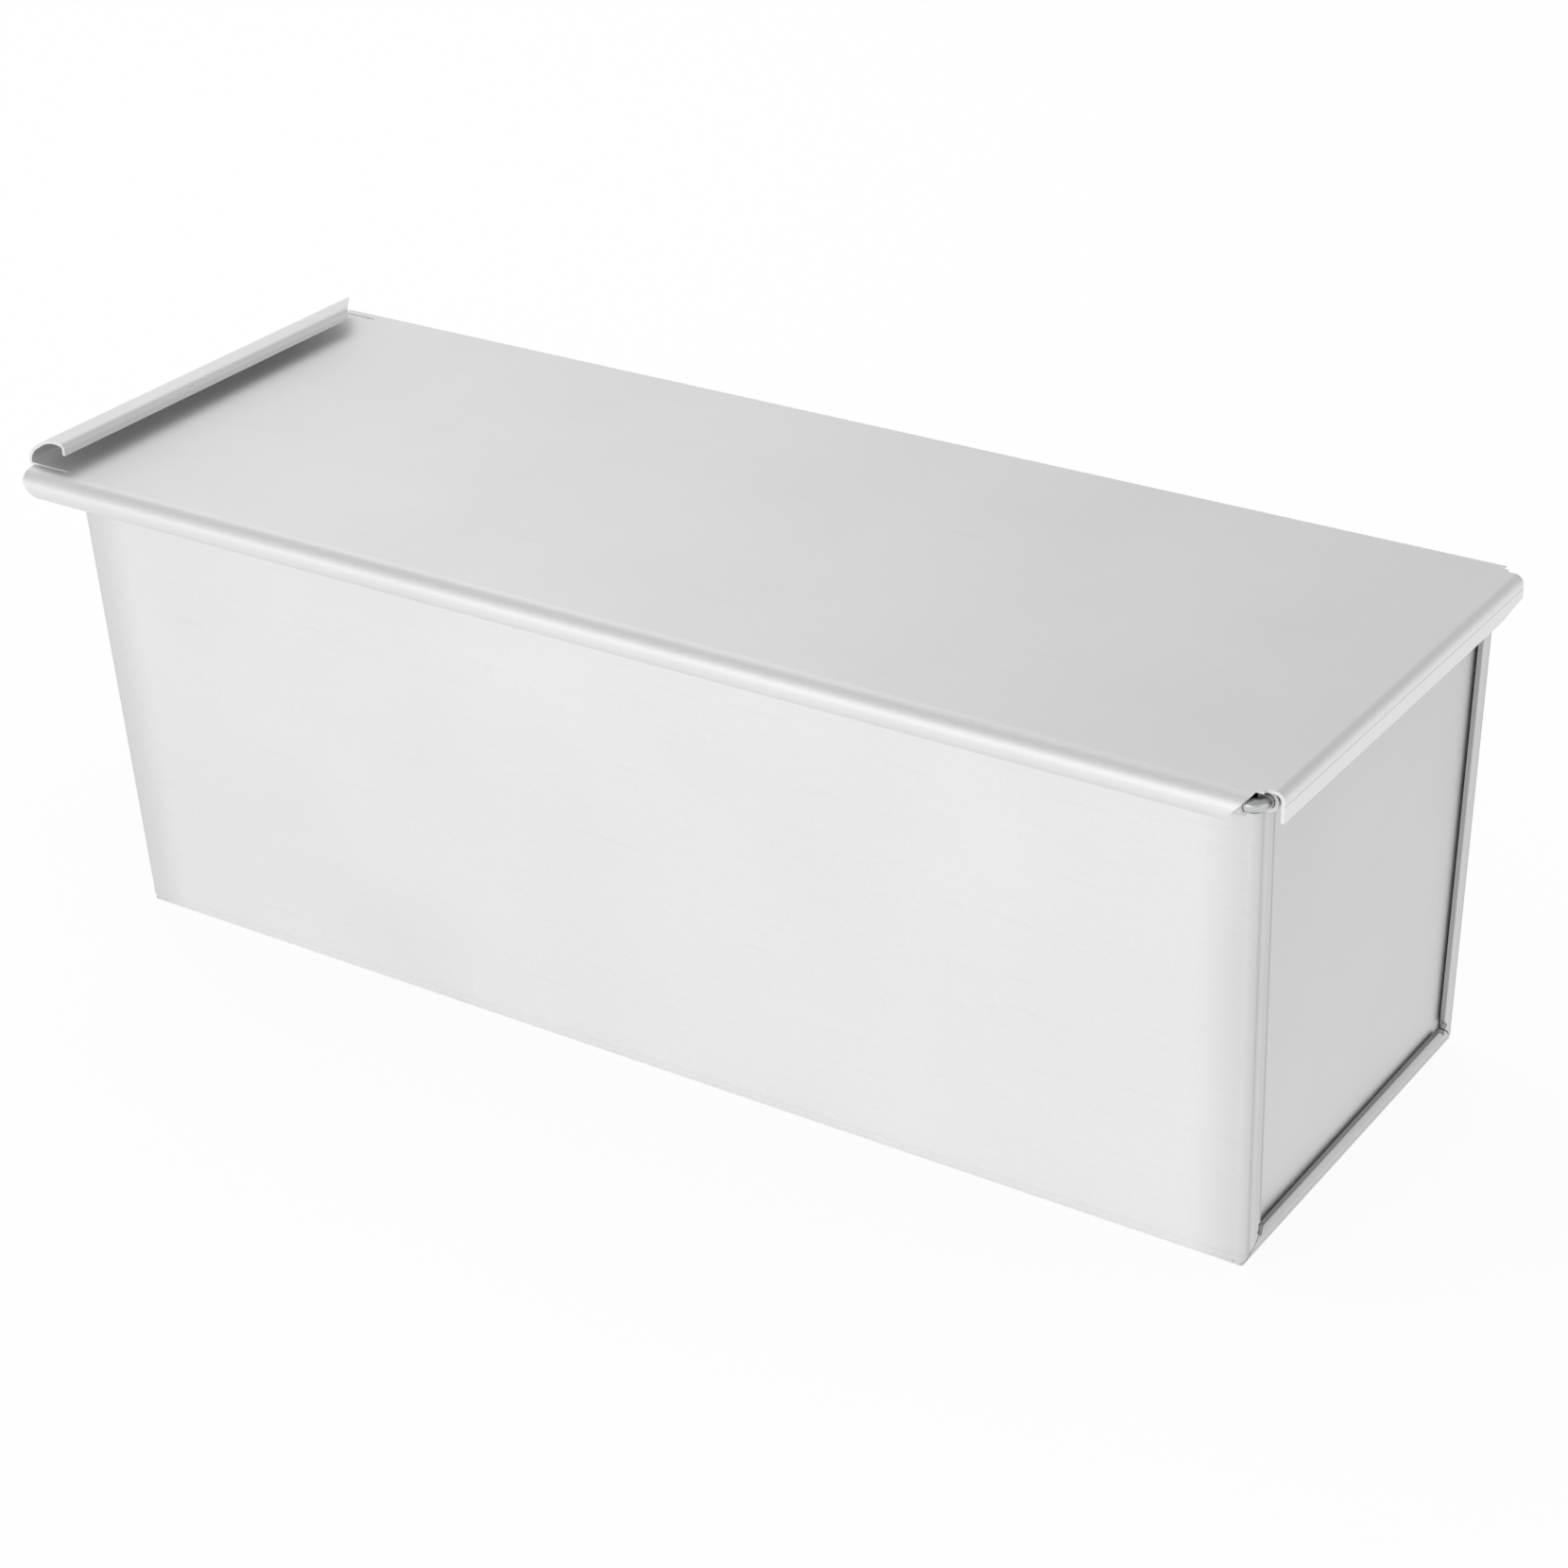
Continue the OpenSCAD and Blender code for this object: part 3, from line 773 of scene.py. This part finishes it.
@dataclass(frozen=True)
class FoldedStrip:
    """A strip of sheet bent across its length, drawn from the section that it shows at its end.

    Attributes:
        name: name of the strip.
        start: where the traced face starts, along X and up Z, in metres.
        heading: direction of the first run in degrees, from the X axis towards Z.
        bends: the steps along the strip.
        half_width: half the strip's width, in metres.
        sheet: thickness of the sheet.
        steps: straight steps in a bend of 90 degrees.
    """

    name: str
    start: tuple[float, float]
    heading: float
    bends: tuple[Bend, ...]
    half_width: float
    sheet: float = 0.7 * MM
    steps: int = 20

    def section(self) -> list[tuple[float, float]]:
        """Traces the sheet's two faces.

        Returns:
            The corners of the closed section, along X and up Z.
        """
        at = Vector(self.start)
        way = math.radians(self.heading)
        traced, other = [], []

        def mark(where: Vector, angle: float, both: bool = True) -> None:
            """Adds a point to the traced face and as a rule to the other face too.

            Args:
                where: the point on the traced face.
                angle: the direction of the face there.
                both: False in a crease that is pressed into the traced face alone.
            """
            right = Vector((math.sin(angle), -math.cos(angle)))
            traced.append(tuple(where))
            if both:
                other.append(tuple(where + right * self.sheet))

        mark(at, way)
        for bend in self.bends:
            at = at + Vector((math.cos(way), math.sin(way))) * bend.run * MM
            whole = not bend.turn or bend.radius * MM > self.sheet
            mark(at, way, whole)
            reach = math.copysign(bend.radius * MM, bend.turn)
            centre = at + Vector((math.sin(way), -math.cos(way))) * reach
            count = math.ceil(self.steps * abs(bend.turn) / 90)
            for step in range(1, count + 1):
                angle = way - math.radians(bend.turn) * step / count
                at = centre - Vector((math.sin(angle), -math.cos(angle))) * reach
                mark(at, angle, whole)
            way -= math.radians(bend.turn)
        return traced + other[::-1]

    def strip_tree(self, material: bpy.types.Material) -> bpy.types.NodeTree:
        """Builds the tree that draws a closed section out to a strip across the pan.

        Args:
            material: the material that the strip gets.

        Returns:
            The geometry tree, with the section and the strip's width as inputs.
        """
        tree = bpy.data.node_groups.new("folded_strip", "GeometryNodeTree")
        face = tree.interface
        face.new_socket("Section", in_out="INPUT", socket_type="NodeSocketGeometry")
        face.new_socket("Width", in_out="INPUT", socket_type="NodeSocketFloat")
        face.new_socket("Strip", in_out="OUTPUT", socket_type="NodeSocketGeometry")
        given = add_node(tree, "NodeGroupInput").outputs
        flat = add_node(tree, "GeometryNodeFillCurve", {"mode": "NGONS"},
                        links={"Curve": given["Section"]}).outputs[0]
        out = add_node(tree, "ShaderNodeCombineXYZ", links={"Z": given["Width"]}).outputs[0]
        drawn = add_node(tree, "GeometryNodeExtrudeMesh", {"mode": "FACES"},
                         {"Individual": False, "Offset Scale": 1.0},
                         {"Mesh": flat, "Offset": out}).outputs[0]
        back = add_node(tree, "GeometryNodeFlipFaces", links={"Mesh": flat}).outputs[0]
        shell = add_node(tree, "GeometryNodeJoinGeometry", links={0: drawn})
        tree.links.new(back, shell.inputs[0])
        closed = add_node(tree, "GeometryNodeMergeByDistance", values={"Distance": 0.001 * MM},
                          links={"Geometry": shell.outputs[0]}).outputs[0]
        half = add_node(tree, "ShaderNodeMath", {"operation": "MULTIPLY"}, {1: 0.5},
                        {0: given["Width"]}).outputs[0]
        shift = add_node(tree, "ShaderNodeCombineXYZ", links={"Y": half}).outputs[0]
        placed = add_node(tree, "GeometryNodeTransform",
                          values={"Rotation": (math.pi / 2, 0.0, 0.0)},
                          links={"Geometry": closed, "Translation": shift}).outputs[0]
        smooth = add_node(tree, "GeometryNodeSetShadeSmooth", links={"Geometry": placed}).outputs[0]
        whole = add_node(tree, "GeometryNodeRealizeInstances",
                         links={"Geometry": smooth}).outputs[0]
        dressed = add_node(tree, "GeometryNodeSetMaterial", values={"Material": material},
                           links={"Geometry": whole}).outputs[0]
        add_node(tree, "NodeGroupOutput", links={"Strip": dressed})
        return tree

    def form(self, material: bpy.types.Material) -> bmesh.types.BMesh:
        """Draws the section out to the strip.

        Args:
            material: the strip's material.

        Returns:
            The strip's mesh, in place.
        """
        corners = [(x, z, 0.0) for x, z in self.section()]
        form = bmesh.new()
        form.from_mesh(grown_mesh(self.name, corners, True, self.strip_tree(material),
                                  {"Width": 2 * self.half_width}))
        return form


@dataclass
class SlidingLid:
    """The lid: a flat sheet with two curled sides, a hemmed flange and a rolled handle.

    The handle and the flange are bent as the photograph shows them, the handle a little
    lower and more closed at its far end, where its corner is also cut off.

    Attributes:
        finish: the sheet's finish.
        handle: the rolled handle, traced along its outer face.
        flange: the flange at the other end, traced along its outer face.
        handle_rise: height of the handle above its root.
        far_drop: how much lower the handle's far end is.
        handle_cut: where the slanted cut starts at the handle's far end.
        flange_cut: where the slanted cut starts at the flange's far end.
        material: the lid's material once it is built.
        piece: the lid once it is built.
    """

    finish: AluminisedSheet = AluminisedSheet("aluminised_steel_lid", "EAEAEA")
    handle: FoldedStrip = FoldedStrip(
        "rolled_handle", (-149.5 * MM, 105.7 * MM), 180.0,
        (Bend(3.46, 1.05, 98.7), Bend(0.0, 5.04, 48.0), Bend(1.89, 8.09, 44.3),
         Bend(0.0, 1.51, 79.0), Bend(1.2)),
        51.3 * MM,
    )
    flange: FoldedStrip = FoldedStrip(
        "lid_flange", (141.6 * MM, 106.4 * MM), 0.0,
        (Bend(1.64, 2.0, 87.0), Bend(0.35, 0.25, 30.0), Bend(0.12, 0.25, -58.0),
         Bend(0.12, 0.25, 33.0), Bend(3.15)),
        51.5 * MM,
    )
    handle_rise: float = 6.3 * MM
    far_drop: float = 1.1 * MM
    handle_cut: tuple[float, float, float] = (-147.75 * MM, 48.9 * MM, 0.0)
    flange_cut: tuple[float, float, float] = (0.0, 51.5 * MM, 101.6 * MM)
    material: bpy.types.Material | None = None
    piece: bpy.types.Object | None = None

    def bent_handle(self) -> bmesh.types.BMesh:
        """Shapes the handle: pressed lower towards the far end, with a corner cut there.

        Returns:
            The handle's mesh.
        """
        form = self.handle.form(self.material)
        slice_mesh(form, self.handle_cut, (6.1, 4.75, 0.0), clear=True)
        close_cuts(form)
        root = self.handle.start[1] + self.handle.sheet
        for vertex in form.verts:
            rise = max(0.0, vertex.co.z - root) / self.handle_rise
            along = (vertex.co.y + self.handle.half_width) / (2 * self.handle.half_width)
            vertex.co.z -= self.far_drop * rise * along
        return form

    def cut_flange(self) -> bmesh.types.BMesh:
        """Shapes the flange: its far lower corner is cut off at a slant.

        Returns:
            The flange's mesh.
        """
        form = self.flange.form(self.material)
        slice_mesh(form, self.flange_cut, (0.0, 1.6, -12.0), clear=True)
        close_cuts(form)
        return form

    def is_beyond(self, place: Vector, x: float, side: float, reach: float) -> bool:
        """Tells whether a place on the CAD lid belongs to the handle or the flange.

        Args:
            place: the middle of a face.
            x: where the part begins.
            side: 1 or -1, the way in which it lies.
            reach: half the width that it takes.

        Returns:
            True for a place beyond the cut, or above the flat top.
        """
        beyond = (place.x - x) * side > 0.001 * MM and abs(place.y) < reach + 0.05 * MM
        return beyond or place.z > self.flange.start[1] + 0.02 * MM

    def flat_top(self) -> bmesh.types.BMesh:
        """Takes the flat top and the side curls from the CAD lid, without handle and flange.

        Returns:
            The top's mesh, closed where it was cut.
        """
        whole = smoothed_node("lid", "lid_top")
        form = bmesh.new()
        form.from_mesh(whole.data)
        bpy.data.objects.remove(whole)
        cuts = ((self.handle.start[0], -1.0, self.handle.half_width),
                (self.flange.start[0], 1.0, 1.0))
        for x, side, reach in cuts:
            slice_mesh(form, (x, 0.0, 0.0), (side, 0.0, 0.0))
            gone = [f for f in form.faces if self.is_beyond(f.calc_center_median(), x, side, reach)]
            bmesh.ops.delete(form, geom=gone, context="FACES")
            close_cuts(form)
        return form

    def build(self) -> None:
        """Joins the top, the handle and the flange in one piece."""
        self.material = self.finish.material()
        mesh = bpy.data.meshes.new("sliding_lid")
        joined = bmesh.new()
        for form in (self.flat_top(), self.bent_handle(), self.cut_flange()):
            form.to_mesh(mesh)
            form.free()
            joined.from_mesh(mesh)
        joined.to_mesh(mesh)
        joined.free()
        mesh.materials.clear()
        self.piece = finished_sheet(mesh, "sliding_lid")

    def dress(self) -> None:
        """Gives the lid its finish and ties it to the lid's own body."""
        self.piece.data.materials.append(self.material)
        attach(self.piece, Body.LID.value)
        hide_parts("lid")


@dataclass(frozen=True)
class SoftLamp:
    """A soft rectangular studio lamp.

    Attributes:
        name: name of the lamp.
        place: where it stands, in metres.
        size: its width and height, in metres.
        power: its power in watts.
    """

    name: str
    place: tuple[float, float, float]
    size: tuple[float, float]
    power: float

    def build(self, aim: Vector) -> None:
        """Hangs the lamp and turns it to the pan.

        Args:
            aim: the point that the lamp faces.
        """
        light = bpy.data.lights.new(self.name, "AREA")
        light.shape = "RECTANGLE"
        light.size, light.size_y = self.size
        light.energy = self.power
        lamp = bpy.data.objects.new(self.name, light)
        lamp.location = self.place
        lamp.rotation_euler = (aim - Vector(self.place)).to_track_quat("-Z", "Y").to_euler()
        bpy.context.scene.collection.objects.link(lamp)


@dataclass
class Studio:
    """Pale floor, white surroundings, soft lamps and the camera.

    Attributes:
        floor_size: side of the floor, in metres.
        floor_gap: how far the floor lies below the pan, so that the two don't touch.
        floor_colour: sRGB hex colour of the floor.
        floor_glow: share of plain white in what the camera and reflections see of the floor.
        ceiling: brightness of the surroundings overhead.
        dimming: heights, as sines, between which the surroundings fall to that brightness.
        far_shade: how much the surroundings darken for each unit towards the flange's end.
        ambient: brightness of the surroundings for matt surfaces.
        lamps: the soft lamps.
        aim: the point that the lamps face.
        focal: focal length in millimetres, 3806.2 pixels of a 1659 pixel wide picture.
        camera_place: where the camera stands, in metres.
        camera_right: the camera's X axis.
        camera_down: the direction that is down in the picture.
        camera_view: the direction in which the camera looks.
    """

    floor_size: float = 12.0
    floor_gap: float = 0.05 * MM
    floor_colour: str = "FAFAFA"
    floor_glow: float = 0.88
    ceiling: float = 0.625
    dimming: tuple[float, float] = (0.10, 0.52)
    far_shade: float = 0.16
    ambient: float = 0.92
    lamps: tuple[SoftLamp, ...] = (
        SoftLamp("front_lamp", (-0.25, -1.45, 0.26), (1.4, 0.25), 3.0),
        SoftLamp("side_lamp", (-0.60, 0.40, 0.95), (0.6, 0.6), 1.2),
        SoftLamp("low_lamp", (1.7, -0.5, 0.35), (0.9, 0.4), 0.9),
    )
    aim: tuple[float, float, float] = (0.0, 0.0, 0.06)
    focal: float = SENSOR_MM * 3806.2 / 1659.0
    camera_place: tuple[float, float, float] = (0.38403, -0.55203, 0.40551)
    camera_right: tuple[float, float, float] = (0.833224, 0.551988, -0.032357)
    camera_down: tuple[float, float, float] = (0.237255, -0.409768, -0.880795)
    camera_view: tuple[float, float, float] = (-0.499448, 0.726223, -0.47239)

    def build_floor(self) -> None:
        """Lays a large pale floor that shows near white and keeps the pan's shadow."""
        side = self.floor_size / 2
        mesh = bpy.data.meshes.new("studio_floor")
        corners = ((-side, -side), (side, -side), (side, side), (-side, side))
        mesh.from_pydata([(*corner, -self.floor_gap) for corner in corners], [], [(0, 1, 2, 3)])
        floor = bpy.data.objects.new("studio_floor", mesh)
        bpy.context.scene.collection.objects.link(floor)
        # Matt white board: the eye sees its colour and the pan's soft shadow, and no gloss
        board = bpy.data.materials.new("matt_white_board")
        board.use_nodes = True
        tree = board.node_tree
        tree.nodes.clear()
        place = add_node(tree, "ShaderNodeTexCoord").outputs["Object"]
        mottle = add_node(tree, "ShaderNodeTexNoise", values={"Scale": 40.0, "Detail": 2.0},
                          links={"Vector": place}).outputs[0]
        rough = add_node(tree, "ShaderNodeMath", {"operation": "MULTIPLY_ADD"},
                         {1: 0.1, 2: 0.85}, {0: mottle}).outputs[0]
        matt = add_node(tree, "ShaderNodeBsdfPrincipled",
                        values={"Base Color": linear(self.floor_colour), "Specular IOR Level": 0.0},
                        links={"Roughness": rough}).outputs[0]
        glow = add_node(tree, "ShaderNodeEmission", values={"Strength": 1.0}).outputs[0]
        share = add_node(tree, "ShaderNodeMath", {"operation": "MULTIPLY"},
                         {1: self.floor_glow}, {0: self.seen_rays(tree)}).outputs[0]
        both = add_node(tree, "ShaderNodeMixShader",
                        links={0: share, 1: matt, 2: glow}).outputs[0]
        add_node(tree, "ShaderNodeOutputMaterial", links={"Surface": both})
        mesh.materials.append(board)

    def seen_rays(self, tree: bpy.types.NodeTree) -> bpy.types.NodeSocket:
        """Finds whether a ray is one that shows the surroundings.

        Args:
            tree: the tree that asks.

        Returns:
            A socket that is 1 for camera, glossy and transmission rays, and 0 for others.
        """
        path = add_node(tree, "ShaderNodeLightPath").outputs
        mirrored = add_node(tree, "ShaderNodeMath", {"operation": "MAXIMUM"},
                            links={0: path["Is Camera Ray"], 1: path["Is Glossy Ray"]}).outputs[0]
        return add_node(tree, "ShaderNodeMath", {"operation": "MAXIMUM"},
                        links={0: mirrored, 1: path["Is Transmission Ray"]}).outputs[0]

    def build_surroundings(self) -> None:
        """Puts the pan in white surroundings, darker above and a little towards the flange."""
        world = bpy.data.worlds.new("white_studio")
        bpy.context.scene.world = world
        world.use_nodes = True
        tree = world.node_tree
        tree.nodes.clear()
        way = add_node(tree, "ShaderNodeTexCoord").outputs["Generated"]
        parts = add_node(tree, "ShaderNodeSeparateXYZ", links={0: way}).outputs
        height = add_node(tree, "ShaderNodeMapRange", {"clamp": True},
                          {"From Min": self.dimming[0], "From Max": self.dimming[1],
                           "To Min": 1.0, "To Max": self.ceiling},
                          {"Value": parts["Z"]}).outputs[0]
        side = add_node(tree, "ShaderNodeMath", {"operation": "MULTIPLY_ADD"},
                        {1: -self.far_shade, 2: 1.0 - 0.6 * self.far_shade},
                        {0: parts["X"]}).outputs[0]
        level = add_node(tree, "ShaderNodeMath", {"operation": "MULTIPLY"},
                         links={0: height, 1: side}).outputs[0]
        shown = add_node(tree, "ShaderNodeBackground", links={"Strength": level}).outputs[0]
        plain = add_node(tree, "ShaderNodeBackground", values={"Strength": self.ambient}).outputs[0]
        for source in (shown, plain):
            source.node.inputs["Color"].default_value = (1.0, 1.0, 1.0, 1.0)
        both = add_node(tree, "ShaderNodeMixShader",
                        links={0: self.seen_rays(tree), 1: plain, 2: shown}).outputs[0]
        add_node(tree, "ShaderNodeOutputWorld", links={"Surface": both})

    def build_camera(self) -> None:
        """Sets the camera at the viewing angle of the photograph."""
        data = bpy.data.cameras.new("photo_camera")
        data.sensor_fit = "HORIZONTAL"
        data.sensor_width = SENSOR_MM
        data.lens = self.focal
        data.clip_start = 0.01
        data.clip_end = 50.0
        camera = bpy.data.objects.new("photo_camera", data)
        turn = Matrix((self.camera_right, [-c for c in self.camera_down],
                       [-c for c in self.camera_view])).transposed()
        camera.matrix_world = Matrix.Translation(self.camera_place) @ turn.to_4x4()
        bpy.context.scene.collection.objects.link(camera)
        bpy.context.scene.camera = camera

    def build(self) -> None:
        """Builds the whole studio."""
        self.build_floor()
        self.build_surroundings()
        for lamp in self.lamps:
            lamp.build(Vector(self.aim))
        self.build_camera()
        bpy.context.scene.view_settings.view_transform = "Standard"


def main() -> None:
    """Builds and dresses the pan, and the studio round it."""
    logging.basicConfig(level=logging.INFO, format="%(name)s: %(message)s")
    for part in (PanBody(), EndPlates(), RimWire(), SlidingLid()):
        part.build()
        part.dress()
        LOG.info("%s is built and dressed", type(part).__name__)
    Studio().build()
    LOG.info("studio is ready")


if __name__ == "__main__":
    main()
